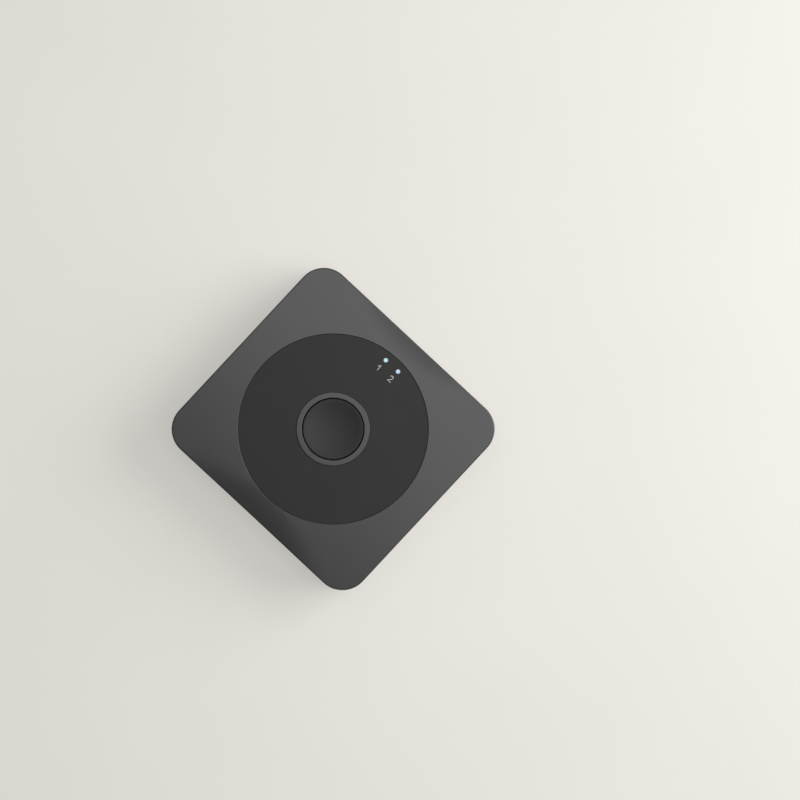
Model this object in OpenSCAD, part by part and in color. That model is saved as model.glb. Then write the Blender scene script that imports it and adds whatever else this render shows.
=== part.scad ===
// A small two-way video switch box: a rounded two-part case with a round push button on top,
// two sockets in one side wall, one in the wall opposite, and a circuit board between.
// Millimetres. The origin is on the table under the middle of the case, +Y points to the wall
// with two sockets, +Z up.

/* [Case] */
// Length of the case along its socket walls
case_w = 58.5; // [57:0.5:70]
// Depth of the case from one socket wall to the other
case_d = 55.5; // [54:0.5:70]
// Height of the case without its feet
case_h = 14.2; // [13.6:0.1:18]
// Radius of the upright corners
corner_r = 6.5; // [5:0.1:8]
// Thickness of the side walls
wall = 1.8; // [1.5:0.1:2.2]
// Thickness of the roof, the disc's pocket included
roof = 2.3; // [2:0.1:3]
// Thickness of the floor
floor_t = 1.8; // [1.5:0.1:2.5]
// Radius along the top and bottom edges
edge_r = 0.3; // [0.2:0.1:1]
// Chamfer on both halves where they meet and round the sockets' ways through the walls
seam_chamfer = 0.2; // [0.1:0.05:0.4]
// Thickness of the lip that keys the halves together
lip_t = 0.8; // [0.6:0.1:1]
// Height of that lip
lip_h = 1.2; // [0.8:0.1:2]
// Clearance round the lip
lip_gap = 0.1; // [0.05:0.05:0.2]

/* [Scooped top] */
// Length of the scoop along each socket wall
scoop_span = 41; // [30:1:44]
// How far each scoop reaches in from the wall
scoop_reach = 6.35; // [4:0.05:6.4]
// Depth of each scoop at the middle of the wall
scoop_depth = 0.5; // [0.2:0.05:0.8]

/* [Face disc] */
// Diameter of the face disc
disc_d = 44.3; // [40:0.1:46]
// Thickness of the face disc
disc_t = 0.7; // [0.5:0.05:0.9]
// Thickness of the adhesive film under it
film_t = 0.1; // [0.05:0.05:0.2]
// How far the disc lies below the top
disc_recess = 0.15; // [0.1:0.05:0.4]
// Clearance round the disc
disc_gap = 0.04; // [0.03:0.01:0.2]

/* [Button] */
// Diameter of the button
button_d = 14; // [12:0.2:15]
// Gap between the button and its collar
button_gap = 0.3; // [0.2:0.05:0.5]
// Width of the collar round the button
collar_w = 1.25; // [0.8:0.05:1.5]
// Depth of the dish in the button
dish_depth = 0.8; // [0.4:0.05:1]
// How far the button's rim lies below the collar
button_recess = 0.1; // [0:0.05:0.3]
// Thickness of the button's skin
button_t = 1.1; // [0.8:0.1:1.2]
// How far the button's flange stands out under the roof
flange_out = 1.4; // [0.8:0.1:2]
// Thickness of that flange
flange_t = 0.8; // [0.6:0.1:1]
// Free play between the flange and the roof
button_play = 0.1; // [0.05:0.05:0.2]
// Diameter of the post under the button
post_d = 4.4; // [3.6:0.2:6]
// Travel of the button
travel = 0.5; // [0.3:0.05:0.6]

/* [Indicator lights] */
// Distance between the two lights
light_pitch = 3.88; // [3.8:0.02:5]
// Distance from the disc's rim in to the lights
light_inset = 2.05; // [1.5:0.05:4]
// Diameter of a light's visible tip
tip_d = 1; // [0.8:0.1:1.4]
// Diameter of a light pipe
pipe_d = 2; // [1.6:0.1:2.2]
// Clearance round a light pipe
pipe_gap = 0.05; // [0.03:0.01:0.1]
// Wall of the sleeve that holds a pipe
sleeve_t = 0.7; // [0.5:0.05:0.8]
// Length of that sleeve
sleeve_h = 3.2; // [2:0.1:4]

/* [Circuit board] */
// Thickness of the board
board_t = 1.2; // [1:0.1:1.6]
// Height of the board above the floor
board_lift = 1.6; // [1.2:0.1:2]
// Gap between the board and the walls
board_gap = 0.6; // [0.3:0.1:1]

/* [Sockets] */
// Distance between the two sockets in one wall
socket_pitch = 24.5; // [21:0.5:27]
// Width of a socket's opening
socket_w = 14; // [13.8:0.05:14.2]
// Height of a socket's opening
socket_h = 4.55; // [4.4:0.05:4.7]
// Size of the slanted lower corners
socket_slant = 1.9; // [1.4:0.1:2.1]
// Thickness of the shell's sheet
sheet = 0.3; // [0.2:0.05:0.4]
// Inner bend radius of the sheet
bend_r = 0.4; // [0.2:0.05:0.6]
// Length of a socket's shell
socket_l = 11.2; // [10:0.1:12]
// How far a socket lies behind the wall's face
socket_set = 0.4; // [0.2:0.1:0.8]
// Clearance between the case and a socket
port_gap = 0.25; // [0.15:0.05:0.35]
// Width of a spring finger in the shell's upper and lower wall
finger_w = 1.6; // [1.2:0.1:2]
// Length of a spring finger
finger_l = 4; // [3:0.1:4.5]
// Width of the tongue in a socket
tongue_w = 10.7; // [10.2:0.1:11]
// Thickness of the tongue
tongue_t = 1.5; // [1.2:0.1:1.7]
// Height of the tongue's middle above the socket's middle
tongue_up = 0.35; // [0.1:0.05:0.5]
// How far the tongue's tip lies behind the shell's mouth
tongue_set = 2.1; // [1.5:0.1:3]
// Thickness of the insulator's rear block
block_t = 2.6; // [2:0.1:3.2]
// Number of contacts above the tongue, one more than below
contacts_n = 10; // [8:1:10]
// Distance between contacts in a row
contact_pitch = 1; // [0.9:0.05:1]
// Width of a contact
contact_w = 0.32; // [0.2:0.02:0.4]
// Thickness of a contact
contact_t = 0.18; // [0.12:0.02:0.24]

/* [Push switch] */
// Side of the switch's body
switch_w = 6; // [5.6:0.2:7]
// Height of the switch's body
switch_h = 3.2; // [2.8:0.1:3.6]
// Height of the switch's stem above the board
stem_h = 5; // [4.4:0.1:5.6]
// Diameter of the stem
stem_d = 3.5; // [2.8:0.1:3.8]
// Thickness of the switch's cover plate
plate_t = 0.3; // [0.2:0.05:0.4]
// Thickness of the switch's bottom
switch_floor = 0.8; // [0.6:0.1:1]

/* [Fasteners and feet] */
// Diameter of the case screws
screw_d = 2; // [1.6:0.1:2.2]
// Length of a screw below its head
screw_l = 8; // [7:0.5:9]
// Diameter of a screw's head
head_d = 3.8; // [3.2:0.1:4]
// Height of a screw's head
head_h = 1.3; // [1:0.1:1.4]
// Wall of the screw bosses
boss_t = 1.6; // [1.2:0.1:1.8]
// Distance from the socket walls in to the screws
screw_inset = 6.5; // [6:0.1:8]
// Diameter of a foot
foot_d = 8.4; // [7:0.2:9]
// How far a foot stands out under the case
foot_proud = 0.8; // [0.6:0.1:1.2]
// Depth of the recess that a foot sits in
foot_recess = 0.4; // [0.2:0.1:0.6]

/* [Hidden] */
$fn = 48;
// Overshoot of a cut through a face
over = 1;

// Levels, from the table up
base_z = foot_proud;
floor_z = base_z + floor_t;
board_z = floor_z + board_lift + board_t;
port_z = board_z + sheet + socket_h / 2;
top_z = base_z + case_h;
ceiling_z = top_z - roof;
pocket_z = top_z - disc_recess - disc_t - film_t;
disc_z = pocket_z + film_t;

// Fits in plan
collar_r = button_d / 2 + button_gap + collar_w;
pocket_r = disc_d / 2 + disc_gap;
light_y = disc_d / 2 - light_inset;
tip_gap = 0.03;
boss_r = screw_d / 2 + boss_t;
boss_gap = 0.6;
screw_x = socket_pitch / 2 + socket_w / 2 + sheet + boss_gap + boss_r;
screw_y = case_d / 2 - screw_inset;
screw_places = [for (x = [-1, 1], y = [-1, 1]) [x * screw_x, y * screw_y]];
screw_gap = 0.2;
thread_gap = 0.03;
head_gap = 0.2;
foot_gap = 0.1;
seat_z = base_z + foot_recess + head_gap + head_h;
// Each socket's place along its wall, and which wall it is in
ports = [[-socket_pitch / 2, 1], [socket_pitch / 2, 1], [0, -1]];

// Steps round a corner, along a side and round an edge of the moulded skin
corner_steps = 14;
side_steps = 16;
edge_steps = 4;
// Rings from the edge to the inner end of the scoops
scoop_steps = 8;
// Least radius of a corner that is set in
least_r = 0.05;
// Steps round a bend of a socket's sheet
bend_steps = 3;
// How far one lump of a piece runs into another, so that they join
bite = 0.2;

// Small chamfers and rounds
pocket_chamfer = 0.08;
collar_chamfer = 0.08;
disc_chamfer = 0.03;
button_chamfer = 0.05;
dish_margin = 0.05;
head_chamfer = 0.5;
foot_round = 0.5;
film_inset = 0.5;

// Light pipes and the lamps under them
sleeve_r = pipe_d / 2 + pipe_gap + sleeve_t;
led_l = 2;
led_w = 1.25;
led_h = 0.8;
led_lens_set = 0.35;
led_gap = 0.2;

// Push switch: the dome stands a little taller than the travel, and the stem rests on it
stem_z = board_z + stem_h;
stem_gap = 0.1;
stem_seat = 0.05;
stem_flange_out = 0.4;
stem_flange_r = stem_d / 2 + stem_flange_out;
stem_flange_t = 0.8;
stem_nose_r = stem_d / 4;
stem_chamfer = 0.4;
dome_t = 0.1;
dome_spare = 0.2;
dome_h = travel + dome_spare;
dome_z = board_z + switch_floor;
ear_w = 2.4;
ear_h = 1.4;
lead_t = 0.25;
lead_w = 0.7;
lead_up = 1;
lead_out = 0.5;
lead_foot = 0.7;
lead_pitch = 0.75 * switch_w;

// Sockets: where the board lies in a socket's frame, the shell's legs and the contacts' tails
port_to_board = board_z - port_z;
leg_w = 1.4;
leg_out = 0.4;
leg_places = [3.6, 9];
slot_gap = 0.2;
// Spring fingers: place across the shell, tip behind the mouth, bend inwards, and gap round them
finger_x = 2.9;
finger_set = 2.8;
finger_in = 0.35;
finger_gap = 0.25;
block_gap = 0.03;
tongue_chamfer = 0.3;
contact_set = 0.5;
tail_gap = 0.5;
tail_foot = 0.9;
tail_end = socket_l + tail_gap + tail_foot;

// Screws: the recess for a driver, and the tip
cross_l = 2.5;
cross_w = 0.6;
cross_deep = 0.7;
screw_tip_r = 0.25;

// Parts on the board
chip_size = [9, 4.5, 0.9];
chip_gap = 3.7;
chip_y = case_d / 2 - socket_set - tail_end - chip_gap - chip_size.y / 2;
mark_d = 0.6;
mark_deep = 0.08;
array_size = [2.5, 1.2, 0.6];
capacitor_size = [0.5, 1, 0.5];
// Capacitors behind each socket, and how far they and the arrays lie behind its tails
capacitors_n = 8;
capacitor_set = 1;
array_set = 3;
resistor_size = [0.8, 1.6, 0.55];
resistor_pitch = 2.4;
resistor_set = 3.2;
end_share = 0.25;
end_step = 0.03;

// Colours
case_colour = "#545456";
disc_colour = "#3a3a3c";
button_colour = "#3e3e40";

// The scoop's plan is an arc that crosses the wall's line at the ends of the span
scoop_r = (scoop_reach ^ 2 + (scoop_span / 2) ^ 2) / (2 * scoop_reach);
scoop_power = 1.7;

// Depth of the scoop under the flat top at a point
function scoop(x, y) =
    let (in = scoop_r - norm([x, case_d / 2 - scoop_reach + scoop_r - abs(y)]))
    in <= 0 ? 0 : scoop_depth * (in / scoop_reach) ^ scoop_power;

// A closed line round the case, set in by a distance, with steps along its sides. It runs
// anticlockwise from the right wall.
function plan_line(set_in, steps) =
    let (
        r = max(corner_r - set_in, least_r),
        x = case_w / 2 - set_in - r,
        y = case_d / 2 - set_in - r,
        mid = [[x, y], [-x, y], [-x, -y], [x, -y]]
    )
    [
        for (k = [0:3])
            let (
                arc = [
                    for (i = [0:corner_steps])
                        let (a = 90 * (k + i / corner_steps))
                        mid[k] + r * [cos(a), sin(a)]
                ],
                next = mid[(k + 1) % 4] + r * [cos(90 * (k + 1)), sin(90 * (k + 1))],
                side = [
                    for (i = [1:1:steps - 1])
                        arc[corner_steps] + (next - arc[corner_steps]) * i / steps
                ]
            )
            each concat(arc, side)
    ];

// The skin of one half: rings of points from the lowest up, closed by a fan at each end
module skin(rings) {
    n = len(rings[0]);
    last = len(rings) - 1;
    points = concat([for (r = rings) each r], [[0, 0, rings[0][0][2]], [0, 0, rings[last][0][2]]]);
    low = n * len(rings);
    sides = [
        for (k = [0:last - 1], i = [0:n - 1])
            let (a = k * n + i, b = k * n + (i + 1) % n)
            each [[a, a + n, b], [b, a + n, b + n]]
    ];
    ends = [
        for (i = [0:n - 1])
            let (j = (i + 1) % n)
            each [[low, i, j], [low + 1, last * n + j, last * n + i]]
    ];
    polyhedron(points, concat(sides, ends));
}

// The upper half's skin: seam chamfer, wall, rounded edge and scooped top
module top_skin() {
    wall_rings = [
        [for (p = plan_line(seam_chamfer, side_steps)) [p.x, p.y, port_z]],
        [for (p = plan_line(0, side_steps)) [p.x, p.y, port_z + seam_chamfer]]
    ];
    edge_rings = [
        for (k = [0:edge_steps])
            let (a = 90 * k / edge_steps)
            [
                for (p = plan_line(edge_r * (1 - cos(a)), side_steps))
                    [p.x, p.y, top_z - scoop(p.x, p.y) - edge_r * (1 - sin(a))]
            ]
    ];
    scoop_rings = [
        for (k = [1:scoop_steps])
            let (set_in = edge_r + (scoop_reach - edge_r) * k / scoop_steps)
            [for (p = plan_line(set_in, side_steps)) [p.x, p.y, top_z - scoop(p.x, p.y)]]
    ];
    skin(concat(wall_rings, edge_rings, scoop_rings));
}

// The lower half's skin: flat underside, rounded edge, wall and seam chamfer
module base_skin() {
    edge_rings = [
        for (k = [0:edge_steps])
            let (a = 90 * k / edge_steps)
            [for (p = plan_line(edge_r * (1 - sin(a)), 1)) [p.x, p.y, base_z + edge_r * (1 - cos(a))]]
    ];
    wall_rings = [
        [for (p = plan_line(0, 1)) [p.x, p.y, port_z - seam_chamfer]],
        [for (p = plan_line(seam_chamfer, 1)) [p.x, p.y, port_z]]
    ];
    skin(concat(edge_rings, wall_rings));
}

// A rounded rectangle set in from the case's plan
module plan(set_in) {
    r = corner_r - set_in;
    w = case_w - 2 * set_in;
    d = case_d - 2 * set_in;
    square([w, d - 2 * r], center = true);
    square([w - 2 * r, d], center = true);
    for (x = [-1, 1], y = [-1, 1])
        translate([x * (w / 2 - r), y * (d / 2 - r)]) circle(r);
}

// A plate of that plan between two heights
module plate(set_in, z0, z1) {
    translate([0, 0, z0]) linear_extrude(z1 - z0) plan(set_in);
}

// A tube or disc between two heights
module ring(r, bore, z0, z1) {
    difference() {
        translate([0, 0, z0]) cylinder(r = r, h = z1 - z0);
        if (bore > 0) translate([0, 0, z0 - over]) cylinder(r = bore, h = z1 - z0 + 2 * over);
    }
}

module rod(r, z0, z1) {
    translate([0, 0, z0]) cylinder(r = r, h = z1 - z0);
}

module at_screws() {
    for (p = screw_places) translate(p) children();
}

// Side -1 is the left light, 1 the right one
module at_light(side) {
    translate([side * light_pitch / 2, light_y]) children();
}

// A socket's own frame: the middle of its mouth, y going into the case
module at_port(i) {
    translate([ports[i].x, ports[i].y * (case_d / 2 - socket_set), port_z])
        rotate(ports[i].y > 0 ? 180 : 0) children();
}

// The socket's outline grown all round, with its corners bent
function socket_line(grow) =
    let (
        w = socket_w / 2 + grow,
        h = socket_h / 2 + grow,
        cut = socket_slant + grow * (2 - sqrt(2)),
        r = bend_r + grow,
        full = [[-w, h], [-w, cut - h], [cut - w, -h], [w - cut, -h], [w, cut - h], [w, h]]
    )
    bent(full, r);

// A convex outline, anticlockwise, with each corner turned into a short arc
function bent(line, r) =
    let (n = len(line))
    [
        for (i = [0:n - 1])
            let (
                p = line[i],
                a = line[(i + n - 1) % n] - p,
                b = line[(i + 1) % n] - p,
                ua = a / norm(a),
                ub = b / norm(b),
                half = acos(ua * ub) / 2,
                mid = p + (ua + ub) / norm(ua + ub) * r / sin(half),
                start = p + ua * r / tan(half) - mid,
                at = atan2(start.y, start.x)
            )
            for (k = [0:bend_steps])
                let (t = at + (180 - 2 * half) * k / bend_steps)
                mid + r * [cos(t), sin(t)]
    ];

// A drawing of width and height carried into the case, in a socket's frame
module deep(from, to) {
    translate([0, to, 0]) rotate([90, 0, 0]) linear_extrude(to - from) children();
}

// A drawing of depth and height given a width, centred
module across(w) {
    rotate([90, 0, 90]) linear_extrude(w, center = true) children();
}

// The way through a wall for each socket, with a funnel that chamfers its mouth
module port_cuts() {
    grow = sheet + port_gap;
    face = -socket_set;
    for (i = [0:len(ports) - 1])
        at_port(i) {
            deep(face - over, face + wall + over) polygon(socket_line(grow));
            hull() {
                deep(face - over, face) polygon(socket_line(grow + seam_chamfer));
                deep(face + 2 * seam_chamfer, face + 3 * seam_chamfer)
                    polygon(socket_line(grow - seam_chamfer));
            }
        }
}

module top_cover() {
    bore_r = button_d / 2 + button_gap;
    pocket = [
        [collar_r, pocket_z],
        [pocket_r, pocket_z],
        [pocket_r, top_z - pocket_chamfer],
        [pocket_r + pocket_chamfer + over, top_z + over],
        [collar_r - collar_chamfer - over, top_z + over],
        [collar_r, top_z - collar_chamfer]
    ];
    bore = [
        [0, ceiling_z - over],
        [bore_r, ceiling_z - over],
        [bore_r, top_z - collar_chamfer],
        [bore_r + collar_chamfer + over, top_z + over],
        [0, top_z + over]
    ];
    color(case_colour) difference() {
        union() {
            difference() {
                top_skin();
                plate(wall, port_z - over, ceiling_z);
                plate(wall - lip_t - lip_gap, port_z - over, port_z + lip_h + lip_gap);
            }
            at_screws() rod(boss_r, board_z, ceiling_z + bite);
            for (side = [-1, 1])
                at_light(side) rod(sleeve_r, ceiling_z - sleeve_h, ceiling_z + bite);
        }
        rotate_extrude() polygon(pocket);
        rotate_extrude() polygon(bore);
        for (side = [-1, 1])
            at_light(side) rod(pipe_d / 2 + pipe_gap, ceiling_z - sleeve_h - over, pocket_z + over);
        at_screws() rod(screw_d / 2 + thread_gap, board_z - over, seat_z + screw_l + thread_gap);
        port_cuts();
    }
}

module base_cover() {
    color(case_colour) difference() {
        union() {
            difference() {
                base_skin();
                plate(wall, floor_z, port_z + over);
            }
            difference() {
                plate(wall - lip_t, port_z - bite, port_z + lip_h);
                plate(wall, port_z - over, port_z + lip_h + over);
            }
            at_screws() rod(boss_r, floor_z - bite, board_z - board_t);
        }
        at_screws() {
            rod(screw_d / 2 + screw_gap, base_z - over, board_z + over);
            rod(head_d / 2 + head_gap, base_z - over, seat_z);
            rod(foot_d / 2 + foot_gap, base_z - over, base_z + foot_recess);
        }
        port_cuts();
    }
}

module face_disc() {
    r = disc_d / 2;
    hole = collar_r + disc_gap;
    section = [
        [hole, disc_z],
        [r, disc_z],
        [r, disc_z + disc_t - disc_chamfer],
        [r - disc_chamfer, disc_z + disc_t],
        [hole + disc_chamfer, disc_z + disc_t],
        [hole, disc_z + disc_t - disc_chamfer]
    ];
    color(disc_colour) difference() {
        rotate_extrude() polygon(section);
        for (side = [-1, 1]) at_light(side) rod(tip_d / 2 + tip_gap, disc_z - over, top_z);
    }
}

module disc_film() {
    color("ivory") difference() {
        ring(disc_d / 2 - film_inset, collar_r + film_inset, pocket_z, disc_z);
        for (side = [-1, 1])
            at_light(side) rod(pipe_d / 2 + film_inset / 2, pocket_z - over, disc_z + over);
    }
}

module button_cap() {
    r = button_d / 2;
    rim_z = top_z - button_recess;
    web_z = rim_z - dish_depth - button_t;
    flange_z = ceiling_z - button_play;
    dish_edge = r - button_chamfer - dish_margin;
    dish_r = (dish_edge ^ 2 + dish_depth ^ 2) / (2 * dish_depth);
    section = [
        [0, rim_z],
        [0, stem_z],
        [post_d / 2, stem_z],
        [post_d / 2, web_z],
        [r - button_t, web_z],
        [r - button_t, flange_z - flange_t],
        [r + flange_out, flange_z - flange_t],
        [r + flange_out, flange_z],
        [r, flange_z],
        [r, rim_z - button_chamfer],
        [r - button_chamfer, rim_z]
    ];
    color(button_colour) rotate_extrude() difference() {
        polygon(section);
        translate([0, rim_z - dish_depth + dish_r]) circle(dish_r, $fn = 240);
    }
}

module light_pipe(side) {
    color("azure") at_light(side) {
        rod(pipe_d / 2, board_z + led_h + led_gap, pocket_z);
        rod(tip_d / 2, pocket_z - bite, disc_z + disc_t);
    }
}

module circuit_board() {
    color("darkgreen") difference() {
        plate(wall + board_gap, board_z - board_t, board_z);
        at_screws() rod(screw_d / 2 + screw_gap, board_z - board_t - over, board_z + over);
        for (i = [0:len(ports) - 1]) at_port(i) socket_legs(slot_gap);
    }
}

module switch_chip() {
    color("dimgray") translate([-chip_size.x / 2, chip_y - chip_size.y / 2, board_z]) difference() {
        cube(chip_size);
        translate([mark_d, chip_size.y - mark_d, chip_size.z - mark_deep])
            cylinder(r = mark_d / 2, h = over);
    }
}

module led(side) {
    half = led_l / 2;
    lens = half - led_lens_set;
    crown = lens - led_lens_set / 2;
    color("white") at_light(side) translate([0, 0, board_z]) across(led_w) polygon([
        [-half, 0],
        [half, 0],
        [half, led_h / 2],
        [lens, led_h / 2],
        [crown, led_h],
        [-crown, led_h],
        [-lens, led_h / 2],
        [-half, led_h / 2]
    ]);
}

// A small block with metal ends that stand a little proud of its middle
module two_ended(size) {
    end = size.y * end_share;
    for (y = [-size.y / 2, size.y / 2 - end])
        translate([-size.x / 2, y, 0]) cube([size.x, end, size.z]);
    translate([end_step - size.x / 2, end - size.y / 2, 0])
        cube([size.x - 2 * end_step, size.y - 2 * end, size.z - end_step]);
}

module capacitors() {
    color("tan") {
        for (i = [0:len(ports) - 1], k = [0:capacitors_n - 1])
            at_port(i)
                translate([
                    (k - (capacitors_n - 1) / 2) * contact_pitch,
                    tail_end + capacitor_set,
                    port_to_board
                ])
                    two_ended(capacitor_size);
        for (x = [-1, 1], y = [-1, 1])
            translate([x * (chip_size.x / 2 + capacitor_set), chip_y + y * chip_size.y / 4, board_z])
                two_ended(capacitor_size);
    }
}

module resistors() {
    color("black") {
        for (side = [-1, 1])
            at_light(side) translate([0, -led_l - resistor_size.y, board_z]) two_ended(resistor_size);
        for (x = [-1, 1], k = [-1:1])
            translate([x * (switch_w / 2 + resistor_set), k * resistor_pitch, board_z])
                rotate(90) two_ended(resistor_size);
    }
}

module surge_arrays() {
    color("dimgray") for (i = [0:len(ports) - 1], x = [-1, 1])
        at_port(i)
            translate([(x - 0.5) * array_size.x, tail_end + array_set - array_size.y / 2, port_to_board])
                cube(array_size);
}

module push_switch_base() {
    color("#303032") difference() {
        translate([-switch_w / 2, -switch_w / 2, board_z]) cube([switch_w, switch_w, switch_h]);
        rod(stem_flange_r + stem_gap, board_z + switch_floor, board_z + switch_h + over);
    }
}

module push_switch_plate() {
    z = board_z + switch_h;
    color("silver") difference() {
        union() {
            translate([-switch_w / 2, -switch_w / 2 - plate_t, z])
                cube([switch_w, switch_w + 2 * plate_t, plate_t]);
            for (side = [-1, 1])
                translate([-ear_w / 2, side * (switch_w + plate_t) / 2 - plate_t / 2, z - ear_h])
                    cube([ear_w, plate_t, ear_h + bite]);
        }
        rod(stem_d / 2 + stem_gap, z - over, z + over);
    }
}

module push_switch_dome() {
    r = stem_flange_r - stem_gap;
    curve = (r ^ 2 + dome_h ^ 2) / (2 * dome_h);
    color("silver") translate([0, 0, dome_z]) rotate_extrude() intersection() {
        difference() {
            translate([0, dome_h - curve]) circle(curve);
            translate([0, dome_h - curve]) circle(curve - dome_t);
        }
        square([r, dome_h]);
    }
}

module push_switch_stem() {
    flange_top = board_z + switch_h - stem_gap;
    color("#303032") rotate_extrude() polygon([
        [0, dome_z + dome_h + stem_seat],
        [stem_nose_r, dome_z + dome_h + stem_seat],
        [stem_flange_r, flange_top - stem_flange_t],
        [stem_flange_r, flange_top],
        [stem_d / 2, flange_top],
        [stem_d / 2, stem_z - stem_chamfer],
        [stem_d / 2 - stem_chamfer, stem_z],
        [0, stem_z]
    ]);
}

module push_switch_leads() {
    near = switch_w / 2;
    knee = near + lead_out;
    far = knee + lead_foot;
    lead = [
        [near, lead_up],
        [near, lead_up - lead_t],
        [knee - lead_t, lead_up - lead_t],
        [knee - lead_t, 0],
        [far, 0],
        [far, lead_t],
        [knee, lead_t],
        [knee, lead_up]
    ];
    color("silver") for (turn = [0, 180], y = [-1, 1])
        rotate(turn) translate([0, y * lead_pitch / 2, board_z]) rotate(-90) across(lead_w) polygon(lead);
}

// The four legs of a socket's shell, or with a clearance the board's slots for them
module socket_legs(clear) {
    low = port_to_board - board_t - leg_out;
    for (side = [-1, 1], y = leg_places)
        translate([side * (socket_w + sheet) / 2, y, 0])
            translate([-sheet / 2 - clear, -leg_w / 2 - clear, low])
                cube([sheet + 2 * clear, leg_w + 2 * clear, -low]);
}

// The windows round the spring fingers
module finger_windows() {
    w = finger_w + 2 * finger_gap;
    for (x = [-1, 1], z = [-1, 1])
        translate([x * finger_x - w / 2, finger_set - finger_gap, z * (socket_h + sheet) / 2 - sheet])
            cube([w, finger_l + finger_gap, 2 * sheet]);
}

// The fingers, which bend in from the inner ends of their windows
module spring_fingers() {
    root = finger_set + finger_l;
    low = socket_h / 2;
    finger = [
        [root + bite, low],
        [root + bite, low + sheet],
        [root, low + sheet],
        [finger_set, low + sheet - finger_in],
        [finger_set, low - finger_in],
        [root, low]
    ];
    for (x = [-1, 1], turn = [0, 180])
        rotate([0, turn, 0]) translate([x * finger_x, 0, 0]) across(finger_w) polygon(finger);
}

module socket_shell(i) {
    color("silver") at_port(i) {
        difference() {
            deep(0, socket_l) polygon(socket_line(sheet));
            deep(-over, socket_l + over) polygon(socket_line(0));
            finger_windows();
        }
        spring_fingers();
        socket_legs(0);
    }
}

// The spring strips of a socket, from the tongue through the block and down to the board
module contact_strips() {
    back = socket_l + tail_gap;
    for (row = [1, -1]) {
        n = row > 0 ? contacts_n : contacts_n - 1;
        low = tongue_up + row * tongue_t / 2 - (row > 0 ? contact_t : 0);
        for (k = [0:n - 1])
            translate([(k - (n - 1) / 2) * contact_pitch, 0, 0]) across(contact_w) polygon([
                [tongue_set + contact_set, low],
                [back - contact_t, low],
                [back - contact_t, port_to_board],
                [tail_end, port_to_board],
                [tail_end, port_to_board + contact_t],
                [back, port_to_board + contact_t],
                [back, low + contact_t],
                [tongue_set + contact_set, low + contact_t]
            ]);
    }
}

module socket_insulator(i) {
    half = tongue_t / 2;
    end = socket_l - block_t + bite;
    tongue = [
        [tongue_set, half - tongue_chamfer],
        [tongue_set, tongue_chamfer - half],
        [tongue_set + tongue_chamfer, -half],
        [end, -half],
        [end, half],
        [tongue_set + tongue_chamfer, half]
    ];
    color("#1c1c1e") at_port(i) difference() {
        union() {
            deep(socket_l - block_t, socket_l) polygon(socket_line(-block_gap));
            translate([0, 0, tongue_up]) across(tongue_w) polygon(tongue);
        }
        contact_strips();
    }
}

module socket_contacts(i) {
    color("gold") at_port(i) contact_strips();
}

module case_screws() {
    r = head_d / 2;
    low = seat_z - head_h;
    color("silver") at_screws() difference() {
        rotate_extrude() polygon([
            [0, low],
            [r - head_chamfer, low],
            [r, low + head_chamfer],
            [r, seat_z],
            [screw_d / 2, seat_z],
            [screw_d / 2, seat_z + screw_l - screw_d],
            [screw_tip_r, seat_z + screw_l],
            [0, seat_z + screw_l]
        ]);
        for (turn = [0, 90])
            rotate(turn) translate([-cross_l / 2, -cross_w / 2, low - over])
                cube([cross_l, cross_w, cross_deep + over]);
    }
}

module feet() {
    r = foot_d / 2;
    top = foot_proud + foot_recess;
    rounded = [for (a = [0:30:90]) [r - foot_round * (1 - sin(a)), foot_round * (1 - cos(a))]];
    color("#202022") at_screws() rotate_extrude() polygon(concat([[0, 0]], rounded, [[r, top], [0, top]]));
}

top_cover();
base_cover();
face_disc();
disc_film();
button_cap();
light_pipe(-1);  // light_pipe_1
light_pipe(1);  // light_pipe_2
circuit_board();
switch_chip();
led(-1);  // led_1
led(1);  // led_2
capacitors();
resistors();
surge_arrays();
push_switch_base();
push_switch_plate();
push_switch_dome();
push_switch_stem();
push_switch_leads();
socket_shell(0);  // socket_1_shell
socket_insulator(0);  // socket_1_insulator
socket_contacts(0);  // socket_1_contacts
socket_shell(1);  // socket_2_shell
socket_insulator(1);  // socket_2_insulator
socket_contacts(1);  // socket_2_contacts
socket_shell(2);  // common_socket_shell
socket_insulator(2);  // common_socket_insulator
socket_contacts(2);  // common_socket_contacts
case_screws();
feet();
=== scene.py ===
import math

import bpy
import numpy as np
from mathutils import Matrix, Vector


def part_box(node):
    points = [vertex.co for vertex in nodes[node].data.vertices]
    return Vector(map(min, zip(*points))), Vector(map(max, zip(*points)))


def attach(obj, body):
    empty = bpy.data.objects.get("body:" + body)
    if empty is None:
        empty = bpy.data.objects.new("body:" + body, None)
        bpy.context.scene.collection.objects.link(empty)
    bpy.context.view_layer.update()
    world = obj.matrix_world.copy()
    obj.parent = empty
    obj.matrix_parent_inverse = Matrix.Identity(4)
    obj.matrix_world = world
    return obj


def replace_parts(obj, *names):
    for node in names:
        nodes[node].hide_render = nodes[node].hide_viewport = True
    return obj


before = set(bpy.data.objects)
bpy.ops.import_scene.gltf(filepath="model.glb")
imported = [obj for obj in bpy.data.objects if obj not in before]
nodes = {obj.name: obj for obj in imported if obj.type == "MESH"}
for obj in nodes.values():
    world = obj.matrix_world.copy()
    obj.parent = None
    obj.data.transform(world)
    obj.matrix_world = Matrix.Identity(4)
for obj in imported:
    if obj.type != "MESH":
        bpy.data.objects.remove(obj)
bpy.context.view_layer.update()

# Lengths in this script are millimetres, and Blender's are metres.
MM = 0.001


def node_box(name):
    """Lowest and highest corner of a node, in millimetres."""
    low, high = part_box(name)
    return np.array(low) / MM, np.array(high) / MM


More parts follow.
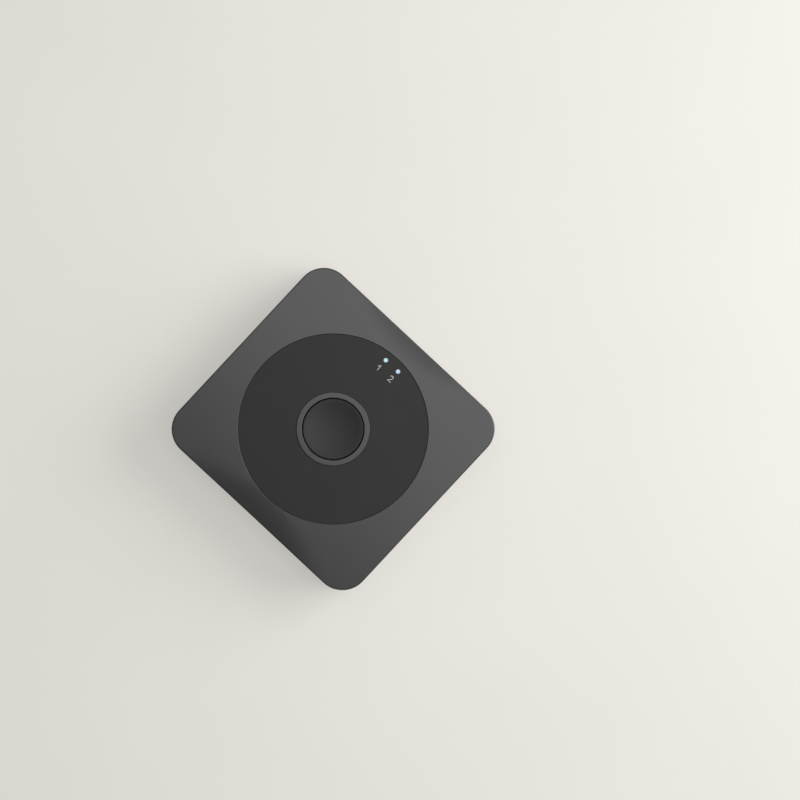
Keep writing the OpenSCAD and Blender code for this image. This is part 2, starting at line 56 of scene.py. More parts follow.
# Places that the frame gives
case_low, case_high = node_box("top_cover")
shell_low, shell_high = node_box("socket_1_shell")
block_low, block_high = node_box("socket_1_insulator")
common_low, common_high = node_box("common_socket_shell")
disc_high = node_box("face_disc")[1]
screws_high = node_box("case_screws")[1]
pipe_boxes = [node_box(name) for name in ("light_pipe_1", "light_pipe_2")]
half_w, half_d, top_z = case_high
boss_z = case_low[2]
pocket_z = node_box("disc_film")[0][2]
seam_z = (block_low[2] + block_high[2]) / 2
disc_r, disc_z = disc_high[0], disc_high[2]

# Sizes of the moulded top cover
CORNER_R = 6.5
WALL = 1.8
ROOF = 2.3
EDGE_R = 0.3
SEAM_CHAMFER = 0.2
LIP_T = 0.8
LIP_H = 1.2
LIP_GAP = 0.1
SCOOP_SPAN = 41.0
SCOOP_REACH = 6.35
SCOOP_DEPTH = 0.5
SCOOP_POWER = 1.7
POCKET_GAP = 0.04
POCKET_ROUND = 0.08
BUTTON_R = 7.0
BUTTON_GAP = 0.3
COLLAR_W = 1.25
COLLAR_ROUND = 0.08
PORT_GAP = 0.25
PORT_BEND = 0.95
HEAD_R = 1.9
SCREW_R = 1.0
BOSS_R = 2.6
THREAD_GAP = 0.03
SLEEVE_T = 0.7
SLEEVE_H = 3.2
PIPE_GAP = 0.05
# Width of the strip beside a small round that keeps a flat face's shading level
HOLD = 0.03
# Radius of the pinhole that closes a turned profile at its axis, and a post's run into the roof
PINHOLE_R = 0.01
BITE = 0.2

# Steps of the cover's grid
CORNER_STEPS = 24
SIDE_STEPS = 40
PLAIN_STEPS = 4
PORT_STEPS = 24
ROUND_STEPS = 6
TOP_STEPS = 22
POST_STEPS = 40
# How far the grid's lines lean away from a port's upright edges, above them, and what share of
# an upright edge's length counts in that spread: less than the whole, so that no face folds over
PORT_LEAN = 1.2
UPRIGHT_SHARE = 0.45
# Edges that turn by more degrees than this are left sharp
SHARP_ANGLE = 35


def mesh_piece(name, points, faces, material, body):
    """A mesh from points in millimetres and lists of faces, riding on a body. It is smooth but for
    its sharp edges."""
    mesh = bpy.data.meshes.new(name)
    mesh.from_pydata(np.asarray(points, float) * MM, [], [list(map(int, f)) for f in faces])
    mesh.shade_smooth()
    mesh.set_sharp_from_angle(angle=math.radians(SHARP_ANGLE))
    mesh.materials.append(material)
    made = bpy.data.objects.new(name, mesh)
    bpy.context.scene.collection.objects.link(made)
    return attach(made, body)


def grid_faces(rings, stations, rings_close):
    """Four-sided faces over a grid of rings whose stations run anticlockwise, closed round each
    ring."""
    ring = np.arange(rings if rings_close else rings - 1)[:, None]
    station = np.arange(stations)[None, :]
    low = ring * stations
    high = (ring + 1) % rings * stations
    after = (station + 1) % stations
    corners = (low + station, low + after, high + after, high + station)
    return np.stack([corner.ravel() for corner in corners], axis=1)


def scoop(x, y):
    """Depth of the scoops under the flat top: nothing outside an arc that crosses the wall's line at
    the ends of the span, and inside it the share of the reach that a point lies within the arc, to
    a power, times the depth."""
    arc_r = (SCOOP_REACH**2 + (SCOOP_SPAN / 2) ** 2) / (2 * SCOOP_REACH)
    within = arc_r - np.hypot(x, half_d - SCOOP_REACH + arc_r - np.abs(y))
    return SCOOP_DEPTH * np.clip(within / SCOOP_REACH, 0, None) ** SCOOP_POWER


def port_line(middle):
    """The upper half of a port's outline along its wall: along, up, and the way into the wall at
    each point. It goes up an upright edge, round a bend, along the ceiling and down again."""
    half = (shell_high[0] - shell_low[0]) / 2 + PORT_GAP
    rise = shell_high[2] + PORT_GAP - seam_z
    turn = np.linspace(math.pi, math.pi / 2, ROUND_STEPS + 1)
    arc = np.stack([np.cos(turn), np.sin(turn)], axis=1)
    bend = arc * PORT_BEND + [PORT_BEND - half, rise - PORT_BEND]
    flat = np.linspace(PORT_BEND - half, 0, PORT_STEPS // 2)[1:]
    ceiling = np.stack([flat, np.full_like(flat, rise)], axis=1)
    left = np.vstack([[[-half, 0]], bend, ceiling])
    way = np.vstack([[[-1, 1]], arc, np.tile([0, 1], (len(flat), 1))])
    right = left[-2::-1] * [-1, 1]
    right_way = way[-2::-1] * [-1, 1]
    return np.vstack([left, right]) + [middle, 0], np.vstack([way, right_way])


def wall_line(half, ports):
    """The lower rim of a straight wall as points (along, up), the way into the wall at each, and how
    far the grid lies along the wall above them: each port's lines spread by PORT_LEAN past its
    upright edges."""
    if not ports:
        along = np.linspace(-half, half, SIDE_STEPS + 1)
        rim = np.stack([along, 0 * along], axis=1)
        return rim, np.tile([0, 1], (len(along), 1)), along
    points, ways, spread = [], [], []
    start, spread_start = -half, -half
    for middle in ports:
        line, way = port_line(middle)
        reach = line[-1, 0] - middle + PORT_LEAN
        plain = np.linspace(0, 1, PLAIN_STEPS + 1)[bool(points):-1]
        points.append(np.stack([start + (line[0, 0] - start) * plain, 0 * plain], axis=1))
        ways.append(np.tile([0, 1], (len(plain), 1)))
        spread.append(spread_start + (middle - reach - spread_start) * plain)
        steps = np.hypot(*np.diff(line, axis=0).T)
        steps[[0, -1]] *= UPRIGHT_SHARE
        share = np.concatenate([[0], np.cumsum(steps)]) / steps.sum()
        points.append(line)
        ways.append(way)
        spread.append(middle + reach * (2 * share - 1))
        start, spread_start = line[-1, 0], middle + reach
    plain = np.linspace(0, 1, PLAIN_STEPS + 1)[1:]
    points.append(np.stack([start + (half - start) * plain, 0 * plain], axis=1))
    ways.append(np.tile([0, 1], (len(plain), 1)))
    spread.append(spread_start + (half - spread_start) * plain)
    return np.vstack(points), np.vstack(ways), np.concatenate(spread)


def case_stations():
    """Stations anticlockwise round the case. Each has its point on a core line, which the corner
    radius outside it makes the case's outline, the wall's normal and tangent there, its point on
    the lower rim above the seam, and how far the grid is shifted along the wall above the rim."""
    pitch = (common_low[0] + common_high[0]) / 2 - (shell_low[0] + shell_high[0]) / 2
    core_half = np.array([half_w - CORNER_R, half_d - CORNER_R])
    ports = {0: [], 1: [-pitch, pitch], 2: [], 3: [0]}
    rows = []
    for side in range(4):
        turn = side * math.pi / 2
        normal = np.round([math.cos(turn), math.sin(turn)])
        tangent = np.array([-normal[1], normal[0]])
        rim, way, spread = wall_line(abs(core_half @ tangent), ports[side])
        core = normal * abs(core_half @ normal) + tangent * rim[:, :1]
        shift = spread - rim[:, 0]
        flat = np.tile(np.concatenate([normal, tangent]), (len(rim), 1))
        rows.append(np.column_stack([core, flat, rim[:, 1], way, shift]))
        bend = turn + np.linspace(0, math.pi / 2, CORNER_STEPS + 1)[1:-1]
        around = np.stack([np.cos(bend), np.sin(bend), -np.sin(bend), np.cos(bend)], axis=1)
        corner = np.tile(core[-1], (len(bend), 1))
        plain = np.tile([0, 0, 1, 0], (len(bend), 1))
        rows.append(np.column_stack([corner, around, plain]))
    return np.vstack(rows)


def quarter_round(radius):
    """Steps of a quarter round: how far in and how far up, from the side to the top."""
    turn = np.linspace(0, math.pi / 2, ROUND_STEPS + 1)
    return np.stack([radius * (1 - np.cos(turn)), radius * (np.sin(turn) - 1)], axis=1)


def make_top_cover(material):
    """The upper half of the case as one closed grid. Its rings run from the seam up the wall, over
    the rounded edge, across the scooped top to the disc's pocket, round the collar and down the
    button's bore, then back along the ceiling and down the inner wall to the groove for the lip."""
    rows = case_stations()
    core, normal, tangent = rows[:, 0:2], rows[:, 2:4], rows[:, 4:6]
    rise, way, shift = rows[:, 6], rows[:, 7:9], rows[:, 9:10]

    def rim_ring(inset, growth):
        plan = core + tangent * growth * way[:, :1] + normal * (CORNER_R - inset)
        return np.column_stack([plan, seam_z + rise + growth * way[:, 1]])

    def wall_ring(inset, z):
        plan = core + tangent * shift + normal * (CORNER_R - inset)
        return np.column_stack([plan, np.broadcast_to(z, len(plan))])

    def sunk(ring):
        ring[:, 2] -= scoop(ring[:, 0], ring[:, 1])
        return ring

    def top_ring(inset, drop):
        return sunk(wall_ring(inset, top_z + drop))

    inner = top_ring(EDGE_R + HOLD, 0)
    angle = np.arctan2(inner[:, 1], inner[:, 0])
    reach = np.hypot(inner[:, 0], inner[:, 1])

    def round_ring(radius, z):
        plan = np.stack([radius * np.cos(angle), radius * np.sin(angle)], axis=1)
        return np.column_stack([plan, np.broadcast_to(z, len(plan))])

    pocket_r = disc_r + POCKET_GAP
    brim_r = pocket_r + POCKET_ROUND
    bore_r = BUTTON_R + BUTTON_GAP
    collar_r = bore_r + COLLAR_W
    ceiling_z = top_z - ROOF
    rings = [rim_ring(SEAM_CHAMFER, 0), rim_ring(0, SEAM_CHAMFER), top_ring(0, -EDGE_R - HOLD)]
    rings += [top_ring(inward, drop) for inward, drop in quarter_round(EDGE_R)]
    rings.append(inner)
    for share in np.linspace(0, 1, TOP_STEPS + 1)[1:]:
        rings.append(sunk(round_ring(reach + (brim_r + HOLD - reach) * share, top_z)))
    rings.append(sunk(round_ring(brim_r, top_z)))
    brim_drop = top_z - rings[-1][:, 2]
    for inward, drop in quarter_round(POCKET_ROUND)[-2::-1]:
        share = 1 + drop / POCKET_ROUND
        rings.append(round_ring(pocket_r + inward, top_z + drop - brim_drop * share))
    rings += [round_ring(pocket_r, pocket_z), round_ring(collar_r, pocket_z)]
    collar_edge = quarter_round(COLLAR_ROUND)
    rings += [round_ring(collar_r - inward, top_z + drop) for inward, drop in collar_edge]
    rings.append(round_ring(collar_r - COLLAR_ROUND - HOLD, top_z))
    rings.append(round_ring(bore_r + COLLAR_ROUND + HOLD, top_z))
    rings += [round_ring(bore_r + inward, top_z + drop) for inward, drop in collar_edge[::-1]]
    rings += [round_ring(bore_r, ceiling_z), wall_ring(WALL, ceiling_z)]
    groove = WALL - LIP_T - LIP_GAP
    groove_z = seam_z + np.maximum(LIP_H, rise) + LIP_GAP
    rings += [wall_ring(WALL, groove_z), wall_ring(groove, groove_z), rim_ring(groove, 0)]
    faces = grid_faces(len(rings), len(rows), True)
    made = mesh_piece("moulded_top_cover", np.vstack(rings), faces, material, "case")
    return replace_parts(made, "top_cover")


def lathe(profile, place):
    """A closed profile of (radius, height), running up its outside, turned about an upright axis at
    a place."""
    turn = np.arange(POST_STEPS) * 2 * math.pi / POST_STEPS
    circle = np.stack([np.cos(turn), np.sin(turn)], axis=1)
    rings = [np.column_stack([place + r * circle, np.full(POST_STEPS, z)]) for r, z in profile]
    return np.vstack(rings), grid_faces(len(profile), POST_STEPS, True)


def make_cover_posts(material):
    """The posts under the roof: four bosses with blind holes for the screws, and a sleeve for each
    light pipe."""
    top = top_z - ROOF + BITE
    hole_r, hole_z = SCREW_R + THREAD_GAP, screws_high[2] + THREAD_GAP
    boss = [(BOSS_R, boss_z), (BOSS_R, top), (PINHOLE_R, top)]
    boss += [(PINHOLE_R, hole_z), (hole_r, hole_z), (hole_r, boss_z)]
    screw_place = screws_high[:2] - HEAD_R
    pieces = [lathe(boss, screw_place * [x, y]) for x in (-1, 1) for y in (-1, 1)]
    for low, high in pipe_boxes:
        bore = (high[0] - low[0]) / 2 + PIPE_GAP
        foot = top - BITE - SLEEVE_H
        sleeve = [(bore + SLEEVE_T, foot), (bore + SLEEVE_T, top), (bore, top), (bore, foot)]
        pieces.append(lathe(sleeve, (low[:2] + high[:2]) / 2))
    starts = np.cumsum([0] + [len(points) for points, faces in pieces])
    points = np.vstack([points for points, faces in pieces])
    faces = np.vstack([faces + start for (points, faces), start in zip(pieces, starts)])
    made = mesh_piece("cover_posts", points, faces, material, "case")
    return made


def srgb(code):
    """A six-digit sRGB colour as the linear colour that shaders take."""
    parts = np.array([int(code[i:i + 2], 16) for i in (1, 3, 5)]) / 255
    linear = np.where(parts <= 0.04045, parts / 12.92, ((parts + 0.055) / 1.055) ** 2.4)
    return (*linear, 1.0)


def add(tree, kind, inputs=None, **settings):
    """Adds a shader node. Settings are its own properties, and inputs gives a socket, by name or
    number, a plain value or the output that feeds it."""
    made = tree.nodes.new(kind)
    for name, value in settings.items():
        setattr(made, name, value)
    for name, value in (inputs or {}).items():
        if isinstance(value, bpy.types.NodeSocket):
            tree.links.new(value, made.inputs[name])
        else:
            made.inputs[name].default_value = value
    return made


def new_finish(name):
    """A material with its tree, an empty Principled shader on its output and Object coordinates."""
    material = bpy.data.materials.new(name)
    material.use_nodes = True
    tree = material.node_tree
    tree.nodes.clear()
    shader = add(tree, "ShaderNodeBsdfPrincipled")
    add(tree, "ShaderNodeOutputMaterial", {"Surface": shader.outputs[0]})
    place = add(tree, "ShaderNodeTexCoord").outputs["Object"]
    return material, tree, shader, place


def per_size(size):
    """Scale of a pattern whose repeat is a size in millimetres."""
    return 1 / (size * MM)


# The span that a noise texture mostly fills, and the span of two of them added up
NOISE_SPAN = (0.3, 0.7)
SUM_SPAN = (0.7, 1.3)
# How far the gloss of a moulded face strays from its mean, and the size of its cloudy tones
GLOSS_SPREAD = 0.025
CLOUD_SIZE = 9.0
PLASTIC_IOR = 1.54
# Stretch and depth of rolling lines on metal strip
ROLL_STRETCH = 0.04
ROLL_DEPTH = 0.0008
# A light tip's radius, glow and polish
TIP_R = 0.5
TIP_GLOW = 0.82
TIP_ROUGHNESS = 0.12
ACRYLIC_IOR = 1.49
# A glass thread's pitch and its depth under the mask, the mask's gloss, and the turns that a wave
# texture makes over its own unit
THREAD_PITCH = 0.5
THREAD_DEPTH = 0.004
MASK_ROUGHNESS = 0.35
WAVE_TURN = 20 / (2 * math.pi)


def moulded(name, light, dark, grain, roughness, depth, specular=0.5):
    """A moulded plastic: a fine grain from the tool's surface in the bump and the gloss, its size
    and depth in millimetres, and a faint cloudy change of tone, as the melt's flow leaves it."""
    material, tree, shader, place = new_finish(name)
    cloud = add(
        tree, "ShaderNodeTexNoise", {"Vector": place, "Scale": per_size(CLOUD_SIZE), "Detail": 2}
    )
    speck = add(
        tree,
        "ShaderNodeTexNoise",
        {"Vector": place, "Scale": per_size(grain), "Detail": 3, "Roughness": 0.6},
    )
    mixed = add(
        tree, "ShaderNodeMath", {0: cloud.outputs[0], 1: speck.outputs[0]}, operation="ADD"
    )
    tone = add(
        tree,
        "ShaderNodeMapRange",
        {"Value": mixed.outputs[0], "From Min": SUM_SPAN[0], "From Max": SUM_SPAN[1]},
    )
    colour = add(
        tree,
        "ShaderNodeMix",
        {"Factor": tone.outputs[0], "A": srgb(dark), "B": srgb(light)},
        data_type="RGBA",
    )
    gloss = add(
        tree,
        "ShaderNodeMapRange",
        {
            "Value": speck.outputs[0],
            "From Min": NOISE_SPAN[0],
            "From Max": NOISE_SPAN[1],
            "To Min": roughness - GLOSS_SPREAD,
            "To Max": roughness + GLOSS_SPREAD,
        },
    )
    bump = add(tree, "ShaderNodeBump", {"Height": speck.outputs[0], "Distance": depth * MM})
    tree.links.new(colour.outputs["Result"], shader.inputs["Base Color"])
    tree.links.new(gloss.outputs[0], shader.inputs["Roughness"])
    tree.links.new(bump.outputs[0], shader.inputs["Normal"])
    shader.inputs["IOR"].default_value = PLASTIC_IOR
    shader.inputs["Specular IOR Level"].default_value = specular
    return material


def speckled(name, colours, speck, roughness, depth):
    """A plain solid finish: two near colours mixed by a fine speckle, its size and depth in
    millimetres, which also stirs the gloss and the bump."""
    material, tree, shader, place = new_finish(name)
    noise = add(
        tree, "ShaderNodeTexNoise", {"Vector": place, "Scale": per_size(speck), "Detail": 3}
    )
    colour = add(
        tree,
        "ShaderNodeMix",
        {"Factor": noise.outputs[0], "A": srgb(colours[0]), "B": srgb(colours[1])},
        data_type="RGBA",
    )
    gloss = add(
        tree,
        "ShaderNodeMapRange",
        {"Value": noise.outputs[0], "To Min": roughness[0], "To Max": roughness[1]},
    )
    bump = add(tree, "ShaderNodeBump", {"Height": noise.outputs[0], "Distance": depth * MM})
    tree.links.new(colour.outputs["Result"], shader.inputs["Base Color"])
    tree.links.new(gloss.outputs[0], shader.inputs["Roughness"])
    tree.links.new(bump.outputs[0], shader.inputs["Normal"])
    return material


def rolled_metal(name, colours, roughness, line):
    """A metal strip off the rolling mill: fine lines, so many millimetres apart, drawn out along the
    strip, which runs into the case."""
    material, tree, shader, place = new_finish(name)
    drawn = add(tree, "ShaderNodeMapping", {"Vector": place, "Scale": (1, ROLL_STRETCH, 1)})
    lines = add(
        tree,
        "ShaderNodeTexNoise",
        {"Vector": drawn.outputs[0], "Scale": per_size(line), "Detail": 4},
    )
    colour = add(
        tree,
        "ShaderNodeMix",
        {"Factor": lines.outputs[0], "A": srgb(colours[0]), "B": srgb(colours[1])},
        data_type="RGBA",
    )
    gloss = add(
        tree,
        "ShaderNodeMapRange",
        {
            "Value": lines.outputs[0],
            "From Min": NOISE_SPAN[0],
            "From Max": NOISE_SPAN[1],
            "To Min": roughness[0],
            "To Max": roughness[1],
        },
    )
    bump = add(tree, "ShaderNodeBump", {"Height": lines.outputs[0], "Distance": ROLL_DEPTH * MM})
    tree.links.new(colour.outputs["Result"], shader.inputs["Base Color"])
    tree.links.new(gloss.outputs[0], shader.inputs["Roughness"])
    tree.links.new(bump.outputs[0], shader.inputs["Normal"])
    shader.inputs["Metallic"].default_value = 1
    return material


def lit_acrylic(name, middle, rim, side):
    """Polished clear acrylic with a lamp at its foot: the flat tip glows almost white, with its tint
    at the rim."""
    material, tree, shader, place = new_finish(name)
    low, high = pipe_boxes[side - 1]
    centre = (low + high) / 2 * MM
    moved = add(
        tree,
        "ShaderNodeMapping",
        {"Vector": place, "Location": (-centre[0], -centre[1], 0), "Scale": (1, 1, 0)},
    )
    away = add(tree, "ShaderNodeVectorMath", {0: moved.outputs[0]}, operation="LENGTH")
    share = add(
        tree, "ShaderNodeMapRange", {"Value": away.outputs["Value"], "From Max": TIP_R * MM}
    )
    glow = add(
        tree,
        "ShaderNodeMix",
        {"Factor": share.outputs[0], "A": srgb(middle), "B": srgb(rim)},
        data_type="RGBA",
    )
    tree.links.new(glow.outputs["Result"], shader.inputs["Emission Color"])
    shader.inputs["Emission Strength"].default_value = TIP_GLOW
    shader.inputs["Base Color"].default_value = srgb("#3a4245")
    shader.inputs["Roughness"].default_value = TIP_ROUGHNESS
    shader.inputs["IOR"].default_value = ACRYLIC_IOR
    return material


def masked_laminate(name):
    """Glass cloth laminate under green solder mask: the threads of the cloth show as a faint square
    weave."""
    material, tree, shader, place = new_finish(name)
    threads = [
        add(
            tree,
            "ShaderNodeTexWave",
            {"Vector": place, "Scale": per_size(THREAD_PITCH) / WAVE_TURN, "Distortion": 0.6},
            bands_direction=way,
        )
        for way in ("X", "Y")
    ]
    weave = add(
        tree,
        "ShaderNodeMath",
        {0: threads[0].outputs["Fac"], 1: threads[1].outputs["Fac"]},
        operation="MULTIPLY",
    )
    colour = add(
        tree,
        "ShaderNodeMix",
        {"Factor": weave.outputs[0], "A": srgb("#0d4426"), "B": srgb("#175a34")},
        data_type="RGBA",
    )
    bump = add(tree, "ShaderNodeBump", {"Height": weave.outputs[0], "Distance": THREAD_DEPTH * MM})
    tree.links.new(colour.outputs["Result"], shader.inputs["Base Color"])
    tree.links.new(bump.outputs[0], shader.inputs["Normal"])
    shader.inputs["Roughness"].default_value = MASK_ROUGHNESS
    return material


# ABS from a spark-eroded tool: dark grey, a soft sheen that rolls off the scoops. Its grain of about
# 0.1 mm, and that of the two satin finishes, is drawn coarser so that it shows.
case_finish = moulded("abs_spark_eroded", "#323233", "#2f2f30", 0.45, 0.3, 0.004)
# Polycarbonate from a satin tool: near black and duller than the case
disc_finish = moulded("polycarbonate_satin", "#222223", "#1f1f20", 0.4, 0.5, 0.003, 0.3)
# ABS from a satin tool: dull, so that the dish shades softly from side to side
button_finish = moulded("abs_satin", "#282829", "#252526", 0.4, 0.5, 0.003, 0.3)
# Polished acrylic over a lamp that is on: a small dot, almost white
cyan_tip = lit_acrylic("acrylic_lit_cyan", "#dff4f4", "#98c8d0", 1)
blue_tip = lit_acrylic("acrylic_lit_blue", "#e3f1fd", "#9cb8d8", 2)

# The specks of ink, filler, fibre and fired grains are finer than a tenth of a millimetre, and are
# drawn coarser so that they show.
# Ink from a pad: thin, matt, light grey
ink_finish = speckled("ink_pad_printed", ("#d2d2d2", "#e2e2e2"), 0.12, (0.5, 0.65), 0.003)
# Polyester film with glue on both sides: milky, a little wavy
film_finish = speckled("polyester_film_glued", ("#d8d4c4", "#e4e0d2"), 1.5, (0.25, 0.4), 0.004)
# Epoxy with silica filler: dull dark grey with fine bright specks
chip_finish = speckled("epoxy_silica_filled", ("#1c1c1d", "#2e2e30"), 0.12, (0.5, 0.7), 0.004)
# Silicone with phosphor: pale yellow and waxy
led_finish = speckled("silicone_phosphor", ("#e8e0b0", "#f2ecc8"), 0.3, (0.3, 0.45), 0.003)
# Fired barium titanate: tan and slightly grainy
capacitor_finish = speckled("ceramic_fired_tan", ("#8a6c48", "#a08258"), 0.15, (0.4, 0.6), 0.003)
# Glazed resistor on alumina: black and shiny
resistor_finish = speckled("ceramic_glazed_black", ("#121213", "#1e1e20"), 0.2, (0.2, 0.35), 0.002)
# Nylon with short glass fibre: black with a dry, faintly streaky surface
nylon_finish = speckled("nylon_glass_filled", ("#151516", "#212123"), 0.25, (0.45, 0.65), 0.004)
# Rubber moulded in a blasted tool: near black, dull
rubber_finish = speckled("rubber_moulded", ("#161617", "#212122"), 0.35, (0.7, 0.9), 0.015)

# Rolling lines lie some hundredths of a millimetre apart, and are drawn coarser so that they show.
# Steel strip, nickel plated: bright grey with rolling lines
steel_finish = rolled_metal("steel_nickel_plated", ("#bdbbb6", "#cbc9c4"), (0.27, 0.33), 0.25)
# Phosphor bronze strip, gold plated: warm yellow with rolling lines
gold_finish = rolled_metal("bronze_gold_plated", ("#d4aa58", "#e2be6e"), (0.21, 0.27), 0.2)
# Glass cloth laminate under solder mask: green, with a faint weave
board_finish = masked_laminate("glass_laminate_masked")

# For each slot of the record its finish, and the width of the small rounds that deburring and
# moulding leave on the edges
FINISHES = {
    "case_plastic": (case_finish, 0.08),
    "disc_plastic": (disc_finish, 0.02),
    "button_plastic": (button_finish, 0.03),
    "adhesive_film": (film_finish, 0),
    "board_laminate": (board_finish, 0.05),
    "chip_resin": (chip_finish, 0.05),
    "led_resin": (led_finish, 0.04),
    "capacitor_ceramic": (capacitor_finish, 0.03),
    "resistor_ceramic": (resistor_finish, 0.03),
    "black_nylon": (nylon_finish, 0.05),
    "plated_steel": (steel_finish, 0.05),
    "gold_plate": (gold_finish, 0.03),
    "rubber": (rubber_finish, 0.1),
}
# The light pipes share a slot, and each has its own tint
TIP_FINISHES = {"light_pipe_1": (cyan_tip, 0.05), "light_pipe_2": (blue_tip, 0.05)}

# Corners nearer than the gap are one, faces within the first angle, in degrees, are one, and edges
# that turn by more than the second are rounded, in so many strips
MERGE_GAP = 0.001
FLAT_ANGLE = 0.5
ROUND_ANGLE = 30
ROUND_STRIPS = 2


def smoothing_group():
    """A geometry group that merges a node's loose triangles at their corners and shades them
    smooth."""
    group = bpy.data.node_groups.new("merge_and_smooth", "GeometryNodeTree")
    for way in ("INPUT", "OUTPUT"):
        group.interface.new_socket("Geometry", in_out=way, socket_type="NodeSocketGeometry")
    start = add(group, "NodeGroupInput").outputs[0]
    bare = add(
        group, "GeometryNodeRemoveAttribute", {"Geometry": start, "Name": "custom_normal"}
    )
    merged = add(
        group,
        "GeometryNodeMergeByDistance",
        {"Geometry": bare.outputs[0], "Distance": MERGE_GAP * MM},
    )
    smooth = add(group, "GeometryNodeSetShadeSmooth", {"Geometry": merged.outputs[0]})
    add(group, "NodeGroupOutput", {"Geometry": smooth.outputs[0]})
    return group


def finish_node(node, group, material, width):
    """Dresses a node: its triangles merged, flat faces made whole, edges rounded and normals evened
    by area."""
    node.material_slots[0].material = material
    merge = node.modifiers.new("merge", "NODES")
    merge.node_group = group
    flat = node.modifiers.new("flat_faces", "DECIMATE")
    flat.decimate_type = "DISSOLVE"
    flat.angle_limit = math.radians(FLAT_ANGLE)
    if width:
        rounded = node.modifiers.new("rounded", "BEVEL")
        rounded.width = width * MM
        rounded.segments = ROUND_STRIPS
        rounded.limit_method = "ANGLE"
        rounded.angle_limit = math.radians(ROUND_ANGLE)
        rounded.harden_normals = True
    node.modifiers.new("even_normals", "WEIGHTED_NORMAL").keep_sharp = True


make_top_cover(case_finish)
make_cover_posts(case_finish)
group = smoothing_group()
for name, node in nodes.items():
    slot = node.material_slots[0].material.name
    finish, width = TIP_FINISHES.get(name) or FINISHES[slot]
    finish_node(node, group, finish, width)

# Numerals beside the lights, on the disc: their strokes' width and height over it, the line they
# stand on, their height, the flag of the one, and the place, width and arc of the two
NUMERAL_WIDTH = 0.125
NUMERAL_PROUD = 0.012
NUMERAL_FOOT = 17.04
NUMERAL_H = 1.37
ONE_X = -1.85
ONE_FLAG = 0.52
TWO_X = 1.42
TWO_W = 0.97
TWO_R = 0.4
TWO_MIDDLE = 0.92
TWO_TURN = (165, -35)
TWO_STEPS = 22
# A mitre grows no longer than where the path turns to this cosine of half its angle
MITRE_LIMIT = 0.7


def numeral_paths():
    """The two numerals' middle lines: a flag and a stem, and an arc over a slanted stroke and a
    foot."""
    top = NUMERAL_FOOT + NUMERAL_H
    one = np.array([[ONE_X - ONE_FLAG, top - ONE_FLAG], [ONE_X, top], [ONE_X, NUMERAL_FOOT]])
    turn = np.radians(np.linspace(*TWO_TURN, TWO_STEPS))
    middle = np.array([TWO_X + TWO_MIDDLE * TWO_R, top - TWO_R])
    arc = middle + TWO_R * np.stack([np.cos(turn), np.sin(turn)], axis=1)
    foot = np.array([[TWO_X, NUMERAL_FOOT], [TWO_X + TWO_W, NUMERAL_FOOT]])
    return {"numeral_one": one, "numeral_two": np.vstack([arc, foot])}


def make_numeral(name, path):
    """A printed stroke: a thin rectangle carried along the path, with its corners mitred."""
    way = np.diff(path, axis=0)
    way /= np.linalg.norm(way, axis=1)[:, None]
    before, after = np.vstack([way[:1], way]), np.vstack([way, way[-1:]])
    along = before + after
    along /= np.linalg.norm(along, axis=1)[:, None]
    across = np.stack([-along[:, 1], along[:, 0]], axis=1)
    mitre = 1 / np.maximum((along * after).sum(1), MITRE_LIMIT)
    side = across * (mitre * NUMERAL_WIDTH / 2)[:, None]
    low, high = disc_z - NUMERAL_PROUD, disc_z + NUMERAL_PROUD
    corners = [(path - side, low), (path + side, low), (path + side, high), (path - side, high)]
    lines = [np.column_stack([plan, np.full(len(plan), z)]) for plan, z in corners]
    points = np.stack(lines, axis=1).reshape(-1, 3)
    faces = grid_faces(len(path), 4, False)[:, ::-1].tolist()
    last = len(points) - 1
    faces += [[0, 1, 2, 3], [last, last - 1, last - 2, last - 3]]
    return mesh_piece(name, points, faces, ink_finish, "case")


for name, path in numeral_paths().items():
    make_numeral(name, path)

scene = bpy.context.scene

# The photograph's frame: a square of so many pixels, looked at from straight above, with its scale,
# the pixel that the case's middle lies on and the case's turn, and the lens that stands in for it
IMAGE = 800
PIXELS_PER_MM = 4.295
BOX_PIXEL = np.array([333.1, 429.05])
BOX_TURN = math.radians(42.97)
LENS = 100.0
SENSOR = 36.0
CLIP_START = 10.0


def make_camera():
    """A camera straight above, turned so that the case lies at its angle in the frame, and as far
    off as gives the frame its width at the top's height."""
    field = IMAGE / PIXELS_PER_MM
    right, down = (IMAGE / 2 - BOX_PIXEL) / PIXELS_PER_MM
    x = right * math.cos(BOX_TURN) + down * math.sin(BOX_TURN)
    y = right * math.sin(BOX_TURN) - down * math.cos(BOX_TURN)
    data = bpy.data.cameras.new("camera")
    data.lens = LENS
    data.sensor_width = SENSOR
    data.clip_start = CLIP_START * MM
    made = bpy.data.objects.new("camera", data)
    made.location = np.array([x, y, top_z + field * LENS / SENSOR]) * MM
    made.rotation_euler = (0, 0, BOX_TURN)
    scene.collection.objects.link(made)
    scene.camera = made


def make_softbox(name, place, aim, size, radiance):
    """A rectangular lamp at a place, turned to a point, both in millimetres, with an even radiance
    over its face."""
    data = bpy.data.lights.new(name, "AREA")
    data.shape = "RECTANGLE"
    data.size, data.size_y = size[0] * MM, size[1] * MM
    data.energy = radiance * math.pi * data.size * data.size_y
    made = bpy.data.objects.new(name, data)
    place, aim = np.array(place, float), np.array(aim, float)
    back = place - aim
    made.location = place * MM
    tilt = math.acos(back[2] / np.linalg.norm(back))
    made.rotation_euler = (tilt, 0, math.atan2(back[0], -back[1]))
    scene.collection.objects.link(made)


# The floor's size and the size of its faint tones, the share of its look that is its own glow, and
# between which distances from the case the glow grows to the whole
FLOOR_HALF = 12000.0
FLOOR_TONE = 40.0
FLOOR_ROUGHNESS = 0.9
FLOOR_GLOW = 0.55
GLOW_NEAR = 200.0
GLOW_FAR = 900.0


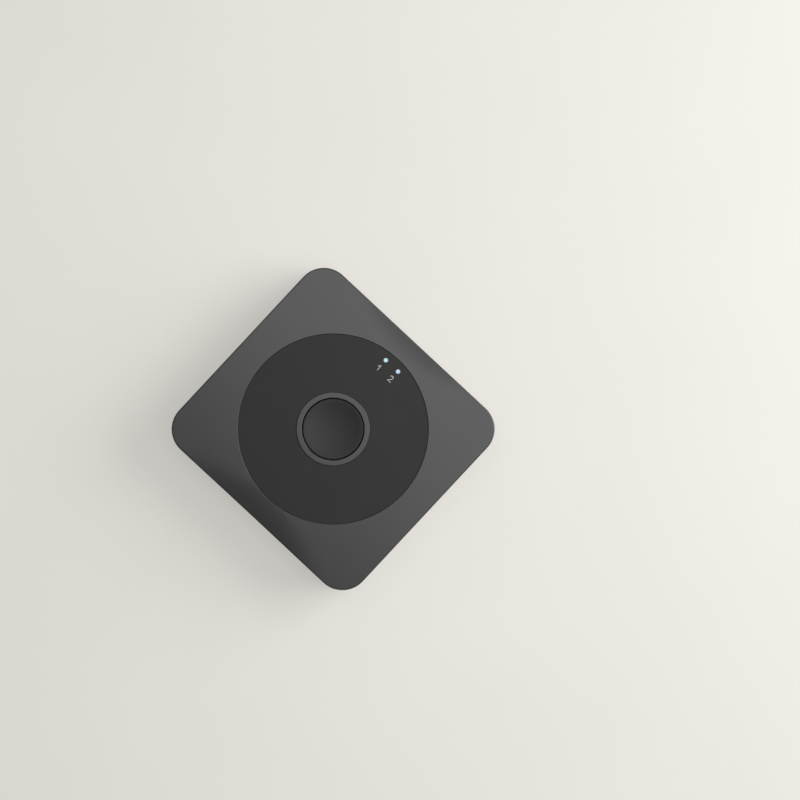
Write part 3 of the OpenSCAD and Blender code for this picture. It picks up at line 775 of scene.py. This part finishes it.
def make_floor():
    """A plain pale floor, flat under the case. To the camera, straight or in a reflection, it glows
    in its own colour, a little near the case and wholly far from it, so that it stays pale and no
    light is added to the case."""
    mesh = bpy.data.meshes.new("floor")
    corners = np.array([(-1, -1, 0), (1, -1, 0), (1, 1, 0), (-1, 1, 0)]) * FLOOR_HALF
    mesh.from_pydata(corners * MM, [], [(0, 1, 2, 3)])
    # Matt paper: off-white, with tones that drift too slowly to catch the eye
    material, tree, shader, place = new_finish("paper_matt")
    tone = add(
        tree, "ShaderNodeTexNoise", {"Vector": place, "Scale": per_size(FLOOR_TONE), "Detail": 2}
    )
    colour = add(
        tree,
        "ShaderNodeMix",
        {"Factor": tone.outputs[0], "A": srgb("#e6e3dc"), "B": srgb("#eae7e1")},
        data_type="RGBA",
    ).outputs["Result"]
    tree.links.new(colour, shader.inputs["Base Color"])
    shader.inputs["Roughness"].default_value = FLOOR_ROUGHNESS
    glow = add(tree, "ShaderNodeEmission", {"Color": colour})
    ray = add(tree, "ShaderNodeLightPath").outputs
    mirrored = add(
        tree,
        "ShaderNodeMath",
        {0: ray["Is Glossy Ray"], 1: ray["Is Transmission Ray"]},
        operation="ADD",
    )
    looking = add(
        tree, "ShaderNodeMath", {0: ray["Is Camera Ray"], 1: mirrored.outputs[0]}, operation="ADD"
    )
    away = add(tree, "ShaderNodeVectorMath", {0: place}, operation="LENGTH")
    growth = add(
        tree,
        "ShaderNodeMapRange",
        {
            "Value": away.outputs["Value"],
            "From Min": GLOW_NEAR * MM,
            "From Max": GLOW_FAR * MM,
            "To Min": FLOOR_GLOW,
        },
        interpolation_type="SMOOTHSTEP",
    )
    share = add(
        tree,
        "ShaderNodeMath",
        {0: looking.outputs[0], 1: growth.outputs[0]},
        operation="MULTIPLY",
    )
    seen = add(
        tree,
        "ShaderNodeMixShader",
        {0: share.outputs[0], 1: shader.outputs[0], 2: glow.outputs[0]},
    )
    tree.links.new(seen.outputs[0], tree.nodes["Material Output"].inputs["Surface"])
    mesh.materials.append(material)
    made = bpy.data.objects.new("floor", mesh)
    scene.collection.objects.link(made)


# Soft boxes: place, the point each is turned to, width and depth, and radiance
SOFTBOXES = {
    "overhead": ((21, 34, 420), (21, 34, 0), (400, 120), 2.45),
    "fill": ((64, 102, 300), (64, 102, 0), (400, 120), 0.55),
    "key": ((223, 357, 260), (0, 0, 15), (400, 400), 5.9),
}
# Strength of the even surround
SURROUND = 0.18

make_camera()
make_floor()
for name, (place, aim, size, radiance) in SOFTBOXES.items():
    make_softbox(name, place, aim, size, radiance)

world = bpy.data.worlds.new("studio")
world.use_nodes = True
surround = world.node_tree.nodes["Background"]
surround.inputs["Color"].default_value = srgb("#ffffff")
surround.inputs["Strength"].default_value = SURROUND
scene.world = world
scene.view_settings.view_transform = "Standard"
